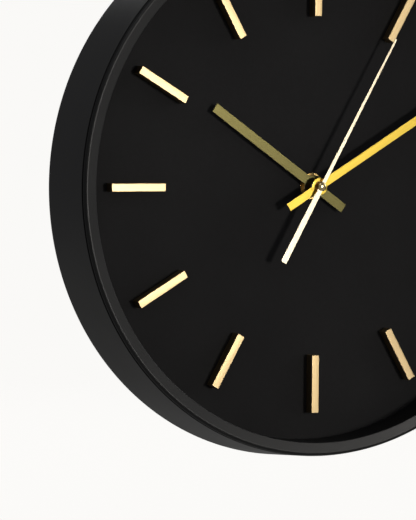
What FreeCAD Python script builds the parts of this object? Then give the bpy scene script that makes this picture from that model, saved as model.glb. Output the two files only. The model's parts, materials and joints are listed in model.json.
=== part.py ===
import FreeCAD, Part
import math
import os
import re

import Sketcher

# A round, shallow, open-faced wall clock with a battery movement.
#
# Every piece is drawn lying face up: local X runs to the right of the dial, local Y up the dial
# and local Z out of the wall towards the reader, with Z = 0 on the wall. FACE_UP then stands the
# piece on the wall, so that in the finished clock X is right, Z is up and the face looks along -Y.
# The origin is the point where the axis of the hands meets the wall.

V = FreeCAD.Vector
FACE_UP = FreeCAD.Rotation(V(1, 0, 0), 90)

# ---------------------------------------------------------------- driving dimensions, millimetres
SIZES = {
    # case
    "rear_radius": 150.0,
    "front_radius": 146.9,
    "shell_depth": 34.8,
    "shell_wall": 1.8,
    "rim_width": 3.0,
    "rim_depth": 1.4,
    "edge_round": 0.5,
    "ledge_radius": 132.0,
    "ledge_thickness": 2.0,
    "screw_count": 6,
    "pilot_depth": 8.0,
    # dial and hour markers
    "dial_back": 17.4,
    "dial_thickness": 1.0,
    "dial_radius": 140.9,
    "marker_inner": 92.6,
    "marker_outer": 124.6,
    "marker_width": 4.5,
    "marker_height": 6.2,
    "marker_round": 0.35,
    "peg_radius": 1.0,
    "peg_inset": 5.5,
    # bezel
    "bezel_inner": 139.3,
    "bezel_outer": 146.6,
    "bezel_inner_depth": 36.7,
    "bezel_outer_depth": 38.0,
    "bezel_skirt": 2.0,
    "bezel_lip": 2.4,
    "bezel_round": 1.8,
    "inner_round": 0.4,
    "spigot_length": 1.0,
    "seam_radius": 145.6,
    "spigot_radius": 144.8,
    "bezel_pitch": 143.0,
    "bezel_post": 1.9,
    "bezel_pilot_depth": 12.0,
    # back panel and hanger
    "panel_back": 2.6,
    "panel_thickness": 2.5,
    "panel_gap": 0.3,
    "panel_window": 29.5,
    "panel_pitch": 136.0,
    "panel_post": 3.5,
    "nail_room": 6.0,
    "hanger_height": 112.0,
    "hanger_half": 22.0,
    "hanger_below": 10.0,
    "hanger_above": 14.0,
    "hanger_round": 3.0,
    "keyhole_drop": 2.0,
    "hanger_thickness": 1.2,
    "keyhole_radius": 4.5,
    "keyhole_slot": 2.1,
    "keyhole_travel": 8.0,
    "hanger_screw_x": 17.0,
    "hanger_screw_rise": 2.0,
    # small screws
    "screw_radius": 1.28,
    "pilot_radius": 1.3,
    "clearance_radius": 1.6,
    "screw_head": 2.6,
    "screw_head_height": 1.1,
    "slot_half_length": 1.5,
    "slot_half_width": 0.3,
    "slot_depth": 0.6,
    "bezel_screw": 11.0,
    "panel_screw": 8.5,
    "hanger_screw": 3.5,
    # movement housing
    "movement_back": 1.4,
    "movement_front": 16.8,
    "movement_half": 28.0,
    "movement_wall": 1.4,
    "front_wall": 1.2,
    "cover_thickness": 1.2,
    "bay_top": -11.4,
    "train_bottom": -10.4,
    "cover_gap": 0.1,
    "boss_radius": 1.3,
    "boss_front": 3.6,
    "cup_radius": 5.8,
    "cup_front": 3.9,
    "recess_radius": 4.8,
    "recess_front": 3.1,
    "plate_back": 9.6,
    "plate_thickness": 0.7,
    "plate_half": 26.2,
    "plate_gap": 0.3,
    "plate_post": 1.6,
    "board_post": 1.2,
    # stack of pipes on the axis of the hands
    "second_arbor": 0.5,
    "minute_pipe_inner": 0.56,
    "minute_pipe_outer": 1.5,
    "hour_pipe_inner": 1.56,
    "hour_pipe_outer": 2.5,
    "bush_inner": 2.56,
    "bush_outer": 4.0,
    "bush_front": 20.8,
    "flange_radius": 6.0,
    "flange_thickness": 0.4,
    "gasket_radius": 10.0,
    "washer_radius": 7.2,
    "washer_thickness": 0.5,
    "nut_corner": 6.5,
    "nut_height": 1.7,
    "fit": 0.02,
    "running": 0.04,
    "loose": 0.1,
    # wheel train: centre distances
    "third_distance": 8.5,
    "fifth_distance": 8.4,
    "rotor_distance": 8.64,
    "knob_distance": 10.0,
    "wheel_thickness": 0.6,
    "arbor_radius": 0.4,
    "arbor_start": 2.9,
    "arbor_end": 10.3,
    "third_arbor_end": 11.8,
    "knob_arbor": 0.8,
    "knob_arbor_start": 1.5,
    "knob_arbor_end": 15.4,
    # wheel train: where each wheel and pinion starts, and how long each pinion is
    "rotor_pinion_depth": 4.1,
    "rotor_pinion_length": 1.1,
    "fifth_wheel_depth": 4.3,
    "fifth_pinion_length": 1.7,
    "second_wheel_depth": 5.7,
    "second_pinion_length": 2.9,
    "third_wheel_depth": 8.0,
    "third_pinion_depth": 10.6,
    "third_pinion_length": 1.2,
    "centre_wheel_depth": 10.9,
    "cannon_depth": 12.2,
    "cannon_length": 1.4,
    "minute_wheel_depth": 12.5,
    "minute_pinion_length": 2.1,
    "hour_wheel_depth": 14.3,
    "hour_wheel_thickness": 0.7,
    "minute_pipe_back": 9.4,
    "minute_pipe_front": 28.0,
    "hour_pipe_front": 22.5,
    # knob that sets the hands
    "knob_radius": 4.2,
    "knob_back": 0.9,
    "knob_height": 1.9,
    "knob_grip": 0.35,
    "knob_grip_depth": 1.2,
    # stepping motor and circuit
    "magnet_radius": 2.5,
    "magnet_depth": 5.6,
    "magnet_thickness": 1.8,
    "stator_depth": 6.0,
    "stator_left": -20.0,
    "stator_right": 12.0,
    "stator_leg": 5.0,
    "stator_bar": 3.85,
    "stator_bore": 3.0,
    "lamination": 1.0,
    "coil_row": 22.3,
    "coil_middle": 5.5,
    "core_half": 1.6,
    "core_gap": 0.03,
    "bobbin_radius": 2.75,
    "bobbin_flange": 0.8,
    "bobbin_gap": 0.4,
    "sleeve_half": 2.0,
    "sleeve_rise": 0.9,
    "winding_radius": 2.65,
    "board_back": 4.6,
    "board_thickness": 1.0,
    "board_left": 13.6,
    "board_right": 26.0,
    "board_bottom": -9.5,
    "board_top": 26.0,
    "crystal_x": 22.0,
    "crystal_y": 12.0,
    "crystal_depth": 6.62,
    "crystal_length": 6.0,
    "crystal_radius": 1.0,
    "lead_width": 0.3,
    "chip_radius": 2.6,
    "chip_height": 1.1,
    "chip_round": 0.9,
    # hands
    "hand_thickness": 0.5,
    "hour_hand_depth": 21.9,
    "hour_hand_tip": 75.6,
    "hour_hand_tail": 22.1,
    "hour_hand_width": 5.3,
    "hour_hub": 6.0,
    "hour_collet": 3.4,
    "hour_collet_height": 0.8,
    "minute_hand_depth": 27.0,
    "minute_hand_tip": 105.0,
    "minute_hand_tail": 22.3,
    "minute_hand_width": 4.5,
    "minute_hub": 4.75,
    "minute_collet": 2.9,
    "minute_collet_neck": 2.28,
    "minute_collet_back": 1.2,
    "minute_collet_front": 0.5,
    "second_hand_depth": 29.6,
    "second_hand_thickness": 0.3,
    "second_hand_tip": 93.4,
    "second_hand_tail": 47.3,
    "second_tip_half": 0.55,
    "second_front_half": 1.1,
    "second_rear_half": 1.5,
    "second_tail_half": 1.85,
    "second_waist": 2.0,
    "socket_radius": 0.93,
    "socket_back": 1.3,
    "socket_length": 1.6,
    "arbor_in_hand": 0.2,
    "second_cap_radius": 2.5,
    "second_cap_height": 1.4,
    "second_cap_edge": 0.2,
    # rest positions of the hands, degrees clockwise from twelve
    "hour_angle": 304.35,
    "minute_angle": 59.5,
    "second_angle": 29.9,
    # AA cell
    "cell_radius": 7.1,
    "cell_length": 49.2,
    "cell_height": -19.0,
    "cell_depth": 8.3,
    "cell_shift": 0.5,
    "button_radius": 2.75,
    "button_length": 1.0,
    "contact_thickness": 0.4,
    "contact_gap": 0.05,
    "contact_half": 4.5,
    "contact_depth": 3.0,
    "contact_height": 11.5,
    "dimple_half": 1.5,
    "dimple_base": 2.0,
    "dimple_tip": 1.0,
    "dimple_reach": 0.6,
}

# Directions of the centre lines in the movement, degrees anticlockwise from local +X.
THIRD_BEARING = 160.0
FIFTH_BEARING = 80.0
ROTOR_BEARING = 135.0
KNOB_BEARING = 10.0

# How far the nut happens to be turned, in the same sense.
NUT_TURN = 20.0

# Tooth counts.
ROTOR_PINION, FIFTH_WHEEL = 12, 60
FIFTH_PINION, SECOND_WHEEL = 10, 60
SECOND_PINION, THIRD_WHEEL = 8, 60
THIRD_PINION, CENTRE_WHEEL = 8, 64
CANNON_PINION, MINUTE_WHEEL = 12, 36
MINUTE_PINION, HOUR_WHEEL = 10, 40
KNOB_GRIPS = 24

# Tooth shape in modules: height above and depth below the pitch circle, and half the thickness at
# the root, the pitch circle and the tip.
ADDENDUM, DEDENDUM = 0.8, 1.1
ROOT_HALF, PITCH_HALF, TIP_HALF = 0.75, 0.6, 0.25
TOOTH_SINK = 0.15

doc = FreeCAD.newDocument("wall_clock")
sheet = doc.addObject("Spreadsheet::Sheet", "dims")
for row, (alias, size) in enumerate(SIZES.items(), start=1):
    sheet.set(f"A{row}", alias)
    sheet.set(f"B{row}", str(size))
    sheet.setAlias(f"B{row}", alias)
doc.recompute()


# ------------------------------------------------------------------------------ drawing helpers
def cells(expression):
    """The expression with each dimension's name pointed at its spreadsheet cell."""
    def point(match):
        word = match.group()
        return f"dims.{word}" if word in SIZES else word
    return re.sub(r"[a-z_]+", point, str(expression))


def size(expression):
    """The present value of an expression, in millimetres or degrees."""
    return float(eval_object.evalExpression(cells(expression)))


eval_object = doc.addObject("App::FeaturePython", "calculator")


def bind(obj, prop, expression):
    """Bind a property of an object to an expression of the spreadsheet's cells."""
    obj.setExpression(prop, cells(expression))


def at(bearing, distance):
    """Local X and Y of a point at a bearing and distance, as numbers."""
    angle = math.radians(bearing)
    return distance * math.cos(angle), distance * math.sin(angle)


def stand(obj, x=0.0, y=0.0, turn=0.0):
    """Stand a finished piece on the wall, its own axis through (x, y) of the face."""
    spin = FreeCAD.Rotation(V(0, 0, 1), turn)
    obj.Placement = FreeCAD.Placement(V(x, 0, y), FACE_UP.multiply(spin))
    return obj


def new_body(label, x=0.0, y=0.0, turn=0.0):
    """An empty PartDesign body that is drawn face up and stands on the wall."""
    body = doc.addObject("PartDesign::Body", label)
    body.Label = label
    body.AllowCompound = True
    pieces.append(body)
    return stand(body, x, y, turn)


def origin_feature(body, role):
    return next(f for f in body.Origin.OriginFeatures if f.Role == role)


def new_sketch(body, plane="XY_Plane", depth="0", turn=0.0):
    """A sketch on one of the body's own planes, lifted by a depth along the plane's normal."""
    sketch = body.newObject("Sketcher::SketchObject", f"{body.Name}_sketch")
    sketch.AttachmentSupport = [(origin_feature(body, plane), "")]
    sketch.MapMode = "FlatFace"
    sketch.AttachmentOffset = FreeCAD.Placement(V(0, 0, 0), FreeCAD.Rotation(V(0, 0, 1), turn))
    bind(sketch, "AttachmentOffset.Base.z", depth)
    return sketch


def fix_point(sketch, line, corner, x, y):
    """Hold one end of a line at (x, y), each bound to its expression."""
    for kind, expression in (("DistanceX", x), ("DistanceY", y)):
        number = sketch.addConstraint(
            Sketcher.Constraint(kind, -1, 1, line, corner, size(expression)))
        bind(sketch, f"Constraints[{number}]", expression)


def outline(sketch, points):
    """A closed outline of straight lines through points given as pairs of expressions."""
    first = sketch.GeometryCount
    values = [V(size(x), size(y), 0) for x, y in points]
    count = len(values)
    for i, start in enumerate(values):
        sketch.addGeometry(Part.LineSegment(start, values[(i + 1) % count]), False)
    for i in range(count):
        sketch.addConstraint(
            Sketcher.Constraint("Coincident", first + i, 2, first + (i + 1) % count, 1))
    for i, (x, y) in enumerate(points):
        fix_point(sketch, first + i, 1, x, y)
    return sketch


def rectangle(sketch, x_low, x_high, y_low, y_high):
    return outline(sketch, [(x_low, y_low), (x_high, y_low), (x_high, y_high), (x_low, y_high)])


def circle(sketch, radius, x="0", y="0"):
    number = sketch.addGeometry(
        Part.Circle(V(size(x), size(y), 0), V(0, 0, 1), size(radius)), False)
    fix = sketch.addConstraint(Sketcher.Constraint("Radius", number, size(radius)))
    bind(sketch, f"Constraints[{fix}]", radius)
    fix_point(sketch, number, 3, x, y)
    return sketch


def pad(body, sketch, length):
    feature = body.newObject("PartDesign::Pad", f"{body.Name}_pad")
    feature.Profile = sketch
    bind(feature, "Length", length)
    return feature


def pocket(body, sketch, length):
    """Cut a sketch out of the body along the sketch's own normal, towards the reader."""
    feature = body.newObject("PartDesign::Pocket", f"{body.Name}_pocket")
    feature.Profile = sketch
    feature.Reversed = True
    bind(feature, "Length", length)
    return feature


def revolve(body, points):
    """Turn an outline of (radius, depth) points about the body's own axis."""
    feature = body.newObject("PartDesign::Revolution", f"{body.Name}_turned")
    sketch = outline(new_sketch(body, "XZ_Plane"), points)
    feature.Profile = sketch
    feature.ReferenceAxis = (sketch, ["V_Axis"])
    feature.Angle = 360
    return feature


def ring_of(body, features, count):
    """Repeat features evenly about the body's own axis and make that the body's result."""
    pattern = body.newObject("PartDesign::PolarPattern", f"{body.Name}_ring")
    pattern.Originals = features
    pattern.Axis = (origin_feature(body, "Z_Axis"), "")
    pattern.Angle = 360
    pattern.Occurrences = count
    body.Tip = pattern
    return pattern


def soften(body, base, radius, wanted):
    """Round the edges of a feature that the test picks out."""
    doc.recompute()
    names = [f"Edge{i}" for i, edge in enumerate(base.Shape.Edges, start=1) if wanted(edge)]
    if not names:
        raise RuntimeError(f"{body.Label}: no edge to round")
    feature = body.newObject("PartDesign::Fillet", f"{body.Name}_rounds")
    feature.Base = (base, names)
    bind(feature, "Radius", radius)
    return feature


def round_edge_at(radius, depth):
    """A test for a full circle of a radius at a depth."""
    def wanted(edge):
        curve = edge.Curve
        return (isinstance(curve, Part.Circle) and abs(curve.Radius - radius) < 0.01
                and abs(edge.BoundBox.Center.z - depth) < 0.01)
    return wanted


def disc(body, radius, depth, length):
    return pad(body, circle(new_sketch(body, depth=depth), radius), length)


def bore(body, radius, depth, length, x="0", y="0"):
    return pocket(body, circle(new_sketch(body, depth=depth), radius, x, y), length)


def tube(label, outer, inner, depth, length):
    """A plain ring: one cylinder cut out of another."""
    ring = doc.addObject("Part::Cut", label)
    for role, radius in (("Base", outer), ("Tool", inner)):
        cylinder = doc.addObject("Part::Cylinder", f"{label}_{role}")
        bind(cylinder, "Radius", radius)
        bind(cylinder, "Height", length)
        bind(cylinder, "Placement.Base.z", depth)
        setattr(ring, role, cylinder)
    ring.Label = label
    pieces.append(ring)
    return stand(ring)


def block(name, x_low, x_high, y_low, y_high, z_low, z_high):
    """A box between six expressions."""
    box = doc.addObject("Part::Box", name)
    for side, low, high in (("Length", x_low, x_high), ("Width", y_low, y_high),
                            ("Height", z_low, z_high)):
        bind(box, side, f"({high}) - ({low})")
    for axis, low in (("x", x_low), ("y", y_low), ("z", z_low)):
        bind(box, f"Placement.Base.{axis}", low)
    return box


def rod_along_x(name, radius, x_low, x_high, y, z):
    """A cylinder lying along X between two expressions."""
    rod = doc.addObject("Part::Cylinder", name)
    rod.Placement = FreeCAD.Placement(V(0, 0, 0), FreeCAD.Rotation(V(0, 1, 0), 90))
    bind(rod, "Radius", radius)
    bind(rod, "Height", f"({x_high}) - ({x_low})")
    for axis, place in (("x", x_low), ("y", y), ("z", z)):
        bind(rod, f"Placement.Base.{axis}", place)
    return rod


def joined(label, parts, operation="Part::MultiFuse"):
    """Several shapes as one piece of the clock."""
    piece = doc.addObject(operation, label)
    piece.Shapes = parts
    piece.Label = label
    pieces.append(piece)
    return stand(piece)


def less(label, base, tools):
    """One shape with others cut out of it, as one piece of the clock."""
    piece = doc.addObject("Part::Cut", label)
    piece.Base = base
    if len(tools) > 1:
        cutters = doc.addObject("Part::MultiFuse", f"{label}_cutters")
        cutters.Shapes = tools
        piece.Tool = cutters
    else:
        piece.Tool = tools[0]
    piece.Label = label
    pieces.append(piece)
    return stand(piece)


# -------------------------------------------------------------------------------- case and dial
def build_drum_shell():
    """The tapered side wall, with the ledge that the dial sits on and the back panel's posts."""
    body = new_body("drum_shell")
    slope = "(rear_radius - front_radius) / shell_depth"

    def inside(depth):
        return f"rear_radius - shell_wall - {slope} * ({depth})"

    ledge_back = "dial_back - ledge_thickness"
    wall = revolve(body, [
        ("rear_radius", "0"),
        ("front_radius", "shell_depth"),
        (inside("shell_depth"), "shell_depth"),
        (inside("dial_back"), "dial_back"),
        ("ledge_radius", "dial_back"),
        ("ledge_radius", ledge_back),
        (inside(ledge_back), ledge_back),
        (inside("rim_depth"), "rim_depth"),
        ("rear_radius - rim_width", "rim_depth"),
        ("rear_radius - rim_width", "0"),
    ])
    soften(body, wall, "edge_round", round_edge_at(size("rear_radius"), 0))
    panel_front = "panel_back + panel_thickness"
    post = pad(body, circle(new_sketch(body, depth=panel_front), "panel_post", "panel_pitch"),
               f"{ledge_back} - ({panel_front})")
    ring_of(body, [post], int(size("screw_count")))
    pilot = bore(body, "pilot_radius", panel_front, "pilot_depth", "panel_pitch")
    ring_of(body, [pilot], int(size("screw_count")))
    screw_way = bore(body, "clearance_radius", ledge_back, "ledge_thickness", "0", "bezel_pitch")
    ring_of(body, [screw_way], int(size("screw_count")))


def build_front_bezel():
    """The ring round the face. Its skirt presses the dial on the ledge."""
    body = new_body("front_bezel")
    dial_front = "dial_back + dial_thickness"
    lip_back = "bezel_outer_depth - bezel_lip"
    spigot_back = "shell_depth - spigot_length"
    turned = revolve(body, [
        ("bezel_inner", dial_front),
        ("bezel_inner", "bezel_inner_depth"),
        ("bezel_outer", "bezel_outer_depth"),
        ("bezel_outer", lip_back),
        ("seam_radius", lip_back),
        ("seam_radius", "shell_depth"),
        ("spigot_radius", "shell_depth"),
        ("spigot_radius", spigot_back),
        ("bezel_inner + bezel_skirt", spigot_back),
        ("bezel_inner + bezel_skirt", dial_front),
    ])
    outer = soften(body, turned, "bezel_round",
                   round_edge_at(size("bezel_outer"), size("bezel_outer_depth")))
    soften(body, outer, "inner_round",
           round_edge_at(size("bezel_inner"), size("bezel_inner_depth")))
    post = pad(body, circle(new_sketch(body, depth="dial_back"), "bezel_post", "0", "bezel_pitch"),
               "shell_depth - spigot_length / 2 - dial_back")
    ring_of(body, [post], int(size("screw_count")))
    pilot = bore(body, "pilot_radius", "dial_back", "bezel_pilot_depth", "0", "bezel_pitch")
    ring_of(body, [pilot], int(size("screw_count")))


def build_screws(label, head_back, length, x, y, count):
    """A ring of pan-head screws with crossed slots, pointing at the reader."""
    body = new_body(label)
    head = pad(body, circle(new_sketch(body, depth=head_back), "screw_head", x, y),
               "screw_head_height")
    shank = pad(body, circle(new_sketch(body, depth=f"{head_back} + screw_head_height"),
                             "screw_radius", x, y), length)
    repeated = [head, shank]
    for half_x, half_y in (("slot_half_length", "slot_half_width"),
                           ("slot_half_width", "slot_half_length")):
        slot = new_sketch(body, depth=head_back)
        rectangle(slot, f"{x} - {half_x}", f"{x} + {half_x}", f"{y} - {half_y}", f"{y} + {half_y}")
        repeated.append(pocket(body, slot, "slot_depth"))
    if count > 2:
        ring_of(body, repeated, count)
        return
    mirror = body.newObject("PartDesign::Mirrored", f"{label}_pair")
    mirror.Originals = repeated
    mirror.MirrorPlane = (origin_feature(body, "YZ_Plane"), "")
    body.Tip = mirror


def build_dial():
    """The flat dial plate, with the centre hole and two peg holes for each hour marker."""
    body = new_body("dial")
    disc(body, "dial_radius", "dial_back", "dial_thickness")
    bore(body, "bush_outer + 2 * loose", "dial_back", "dial_thickness")
    pegs = [bore(body, "peg_radius + fit", "dial_back", "dial_thickness", "0", place)
            for place in ("marker_inner + peg_inset", "marker_outer - peg_inset")]
    ring_of(body, pegs, 12)


def build_hour_markers():
    """Twelve raised bars, one for each hour, with the pegs that hold them in the dial."""
    body = new_body("hour_markers")
    dial_front = "dial_back + dial_thickness"
    sketch = rectangle(new_sketch(body, depth=dial_front), "-marker_width / 2",
                       "marker_width / 2", "marker_inner", "marker_outer")
    bar = pad(body, sketch, "marker_height")
    top = size(f"{dial_front} + marker_height")
    rounded = soften(body, bar, "marker_round", lambda edge: (
        edge.BoundBox.ZMin > top - 0.01 or edge.BoundBox.ZLength > size("marker_height") - 0.01))
    pegs = [pad(body, circle(new_sketch(body, depth="dial_back"), "peg_radius", "0", place),
                "dial_thickness")
            for place in ("marker_inner + peg_inset", "marker_outer - peg_inset")]
    ring_of(body, [bar, rounded] + pegs, 12)


def build_back_panel():
    """The flat panel that closes the back, open round the movement and behind the hanger."""
    body = new_body("back_panel")
    disc(body, "rear_radius - rim_width - panel_gap", "panel_back", "panel_thickness")
    window = rectangle(new_sketch(body, depth="panel_back"), "-panel_window", "panel_window",
                       "-panel_window", "panel_window")
    pocket(body, window, "panel_thickness")
    nail_room = rectangle(new_sketch(body, depth="panel_back"),
                          "-nail_room", "nail_room",
                          "hanger_height - 1.5 * nail_room",
                          "hanger_height + 1.5 * nail_room")
    pocket(body, nail_room, "panel_thickness")
    for side in ("-hanger_screw_x", "hanger_screw_x"):
        bore(body, "pilot_radius", "panel_back", "panel_thickness", side,
             "hanger_height + hanger_screw_rise")
    screw_way = bore(body, "clearance_radius", "panel_back", "panel_thickness", "panel_pitch")
    ring_of(body, [screw_way], int(size("screw_count")))


def build_hanger_plate():
    """The pressed plate with the keyhole that the clock hangs by."""
    body = new_body("hanger_plate")
    back = "panel_back - hanger_thickness"
    entry = "hanger_height - keyhole_drop"
    plate = pad(body, rectangle(new_sketch(body, depth=back), "-hanger_half", "hanger_half",
                                "hanger_height - hanger_below", "hanger_height + hanger_above"),
                "hanger_thickness")
    soften(body, plate, "hanger_round", lambda edge: (
        edge.BoundBox.ZLength > size("hanger_thickness") - 0.01))
    bore(body, "keyhole_radius", back, "hanger_thickness", "0", entry)
    slot_top = f"{entry} + keyhole_travel"
    pocket(body, rectangle(new_sketch(body, depth=back), "-keyhole_slot", "keyhole_slot",
                           entry, slot_top), "hanger_thickness")
    bore(body, "keyhole_slot", back, "hanger_thickness", "0", slot_top)
    for side in ("-hanger_screw_x", "hanger_screw_x"):
        bore(body, "clearance_radius", back, "hanger_thickness", side,
             "hanger_height + hanger_screw_rise")


# ------------------------------------------------------------------------------ movement housing
def build_movement_case():
    """The front half of the housing: a tray with a bay for the cell and a room for the train."""
    inner = "movement_half - movement_wall"
    floor = "movement_front - front_wall"
    shell = block("case_block", "-movement_half", "movement_half", "-movement_half",
                  "movement_half", "movement_back", "movement_front")
    train = block("case_train", f"-({inner})", inner, "train_bottom", inner,
                  "movement_back", floor)
    bay = block("case_bay", f"-({inner})", inner, f"-({inner})", "bay_top",
                "movement_back", floor)
    hole = doc.addObject("Part::Cylinder", "case_hole")
    bind(hole, "Radius", "bush_outer + fit")
    bind(hole, "Height", "front_wall")
    bind(hole, "Placement.Base.z", floor)
    tray = doc.addObject("Part::Cut", "case_tray")
    tray.Base = shell
    rooms = doc.addObject("Part::MultiFuse", "case_rooms")
    rooms.Shapes = [train, bay, hole]
    tray.Tool = rooms
    posts = [post(f"case_post_{i}", x, y, "plate_post", "plate_back + plate_thickness", floor)
             for i, (x, y) in enumerate(PLATE_POSTS)]
    joined("movement_case", [tray] + posts)


def post(name, x, y, radius, z_low, z_high):
    """An upright cylinder at (x, y) between two depths."""
    cylinder = doc.addObject("Part::Cylinder", name)
    bind(cylinder, "Radius", radius)
    bind(cylinder, "Height", f"({z_high}) - ({z_low})")
    for axis, place in (("x", x), ("y", y), ("z", z_low)):
        bind(cylinder, f"Placement.Base.{axis}", place)
    return cylinder


PLATE_POSTS = [("-23.5", "24"), ("23.5", "24"), ("-23.5", "-7.8"), ("23.5", "-7.8")]
BOARD_POSTS = [("16.5", "23.5"), ("23.5", "-6")]
CHIP_CENTRE = (18.5, 3.0)


def build_movement_cover(axes):
    """The rear half: a lid over the train with a pivot boss for each arbor and a knob recess."""
    inner = "movement_half - movement_wall - cover_gap"
    lid_front = "movement_back + cover_thickness"
    parts = [block("cover_lid", f"-({inner})", inner, "train_bottom + cover_gap",
                   inner,
                   "movement_back", lid_front)]
    holes = []
    for name, (x, y), radius in axes:
        parts.append(post(f"cover_boss_{name}", x, y, "boss_radius", lid_front, "boss_front"))
        holes.append(post(f"cover_pivot_{name}", x, y, f"{radius} + running", lid_front,
                          "boss_front"))
    knob_x, knob_y = KNOB_AXIS
    parts.append(post("cover_cup", knob_x, knob_y, "cup_radius", "movement_back", "cup_front"))
    holes.append(post("cover_recess", knob_x, knob_y, "recess_radius", "movement_back",
                      "recess_front"))
    holes.append(post("cover_knob_way", knob_x, knob_y, "knob_arbor + running",
                      "recess_front", "cup_front"))
    lid = doc.addObject("Part::MultiFuse", "cover_solid")
    lid.Shapes = parts
    less("movement_cover", lid, holes)


def build_middle_plate(axes):
    """The plate between the train and the motion work, which carries the front pivots."""
    front = "plate_back + plate_thickness"
    parts = [block("plate_sheet", "-plate_half", "plate_half", "train_bottom + plate_gap",
                   "plate_half", "plate_back", front)]
    parts += [post(f"plate_post_{i}", x, y, "board_post", "board_back + board_thickness",
                   "plate_back")
              for i, (x, y) in enumerate(BOARD_POSTS)]
    holes = [post(f"plate_way_{name}", x, y, f"{radius} + running", "plate_back", front)
             for name, (x, y), radius in axes]
    sheet_part = doc.addObject("Part::MultiFuse", "plate_solid")
    sheet_part.Shapes = parts
    less("middle_plate", sheet_part, holes)


def build_threaded_bush():
    """The bush through the dial, with a flange inside the housing."""
    body = new_body("threaded_bush")
    floor = "movement_front - front_wall"
    flange_back = f"{floor} - flange_thickness"
    revolve(body, [("bush_inner", flange_back), ("flange_radius", flange_back),
                   ("flange_radius", floor), ("bush_outer", floor),
                   ("bush_outer", "bush_front"), ("bush_inner", "bush_front")])


def build_brass_nut():
    """The six-sided nut that clamps the movement to the dial."""
    body = new_body("brass_nut")
    low = "dial_back + dial_thickness + washer_thickness"
    corners = [at(NUT_TURN + 60 * i, size("nut_corner")) for i in range(6)]
    pad(body, outline(new_sketch(body, depth=low), corners), "nut_height")
    bore(body, "bush_outer + fit", low, "nut_height")


# --------------------------------------------------------------------------------- wheel train
def mesh_phase(bearing, teeth, phase, next_teeth):
    """The angle of a tooth of the next wheel, so that it meshes with this one.

    The next wheel lies at the bearing from this one, and phase is the angle of one of this
    wheel's teeth. Where a tooth points at the next wheel, a gap of that wheel faces it."""
    missing = (teeth * (bearing - phase) + next_teeth * (bearing + 180) - 180) / next_teeth
    return missing % (360 / next_teeth)


def module_of(distance, pinion, wheel):
    return 2 * size(distance) / (pinion + wheel)


def toothed(body, teeth, module, depth, length, phase):
    """A wheel or pinion of a tooth count and module, with one tooth at the phase angle."""
    root = module * (teeth / 2 - DEDENDUM)
    pitch = module * teeth / 2
    tip = module * (teeth / 2 + ADDENDUM)
    disc(body, root, depth, length)
    profile = [(root - TOOTH_SINK, ROOT_HALF), (pitch, PITCH_HALF), (tip, TIP_HALF)]
    points = [(x, -half * module) for x, half in profile]
    points += [(x, half * module) for x, half in reversed(profile)]
    tooth = pad(body, outline(new_sketch(body, depth=depth, turn=phase), points), length)
    ring_of(body, [tooth], teeth)


def arbor(body, radius, z_low, z_high):
    return disc(body, radius, z_low, f"({z_high}) - ({z_low})")


CENTRE = (0.0, 0.0)
THIRD_AXIS = at(THIRD_BEARING, size("third_distance"))
FIFTH_AXIS = at(FIFTH_BEARING, size("fifth_distance"))
ROTOR_AXIS = tuple(a + b for a, b in zip(FIFTH_AXIS, at(ROTOR_BEARING, size("rotor_distance"))))
KNOB_AXIS = at(KNOB_BEARING, size("knob_distance"))


def build_running_train():
    """From the magnet's pinion to the wheel of the second hand, and on to the centre wheel."""
    rotor_module = module_of("rotor_distance", ROTOR_PINION, FIFTH_WHEEL)
    fifth_module = module_of("fifth_distance", FIFTH_PINION, SECOND_WHEEL)
    second_module = module_of("third_distance", SECOND_PINION, THIRD_WHEEL)
    third_module = module_of("third_distance", THIRD_PINION, CENTRE_WHEEL)

    second = new_body("second_wheel")
    toothed(second, SECOND_WHEEL, fifth_module, "second_wheel_depth", "wheel_thickness", 0)
    toothed(second, SECOND_PINION, second_module, "second_wheel_depth + wheel_thickness",
            "second_pinion_length", 0)
    bore(second, "second_arbor + fit", "second_wheel_depth",
         "wheel_thickness + second_pinion_length")

    fifth_phase = mesh_phase(FIFTH_BEARING, SECOND_WHEEL, 0, FIFTH_PINION)
    fifth = new_body("fifth_wheel", *FIFTH_AXIS)
    arbor(fifth, "arbor_radius", "arbor_start", "arbor_end")
    toothed(fifth, FIFTH_PINION, fifth_module, "fifth_wheel_depth + wheel_thickness",
            "fifth_pinion_length", fifth_phase)
    toothed(fifth, FIFTH_WHEEL, rotor_module, "fifth_wheel_depth", "wheel_thickness", 0)

    rotor_phase = mesh_phase(ROTOR_BEARING, FIFTH_WHEEL, 0, ROTOR_PINION)
    rotor = new_body("rotor_pinion", *ROTOR_AXIS)
    arbor(rotor, "arbor_radius", "arbor_start", "arbor_end")
    toothed(rotor, ROTOR_PINION, rotor_module, "rotor_pinion_depth", "rotor_pinion_length",
            rotor_phase)
    magnet = new_body("rotor_magnet", *ROTOR_AXIS)
    disc(magnet, "magnet_radius", "magnet_depth", "magnet_thickness")
    bore(magnet, "arbor_radius + fit", "magnet_depth", "magnet_thickness")

    third_phase = mesh_phase(THIRD_BEARING, SECOND_PINION, 0, THIRD_WHEEL)
    third = new_body("third_wheel", *THIRD_AXIS)
    arbor(third, "arbor_radius", "arbor_start", "third_arbor_end")
    toothed(third, THIRD_WHEEL, second_module, "third_wheel_depth", "wheel_thickness",
            third_phase)
    toothed(third, THIRD_PINION, third_module, "third_pinion_depth", "third_pinion_length", 0)

    centre_phase = mesh_phase(THIRD_BEARING + 180, THIRD_PINION, 0, CENTRE_WHEEL)
    centre = new_body("centre_wheel")
    toothed(centre, CENTRE_WHEEL, third_module, "centre_wheel_depth", "wheel_thickness",
            centre_phase)
    bore(centre, "minute_pipe_outer + running", "centre_wheel_depth", "wheel_thickness")


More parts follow.
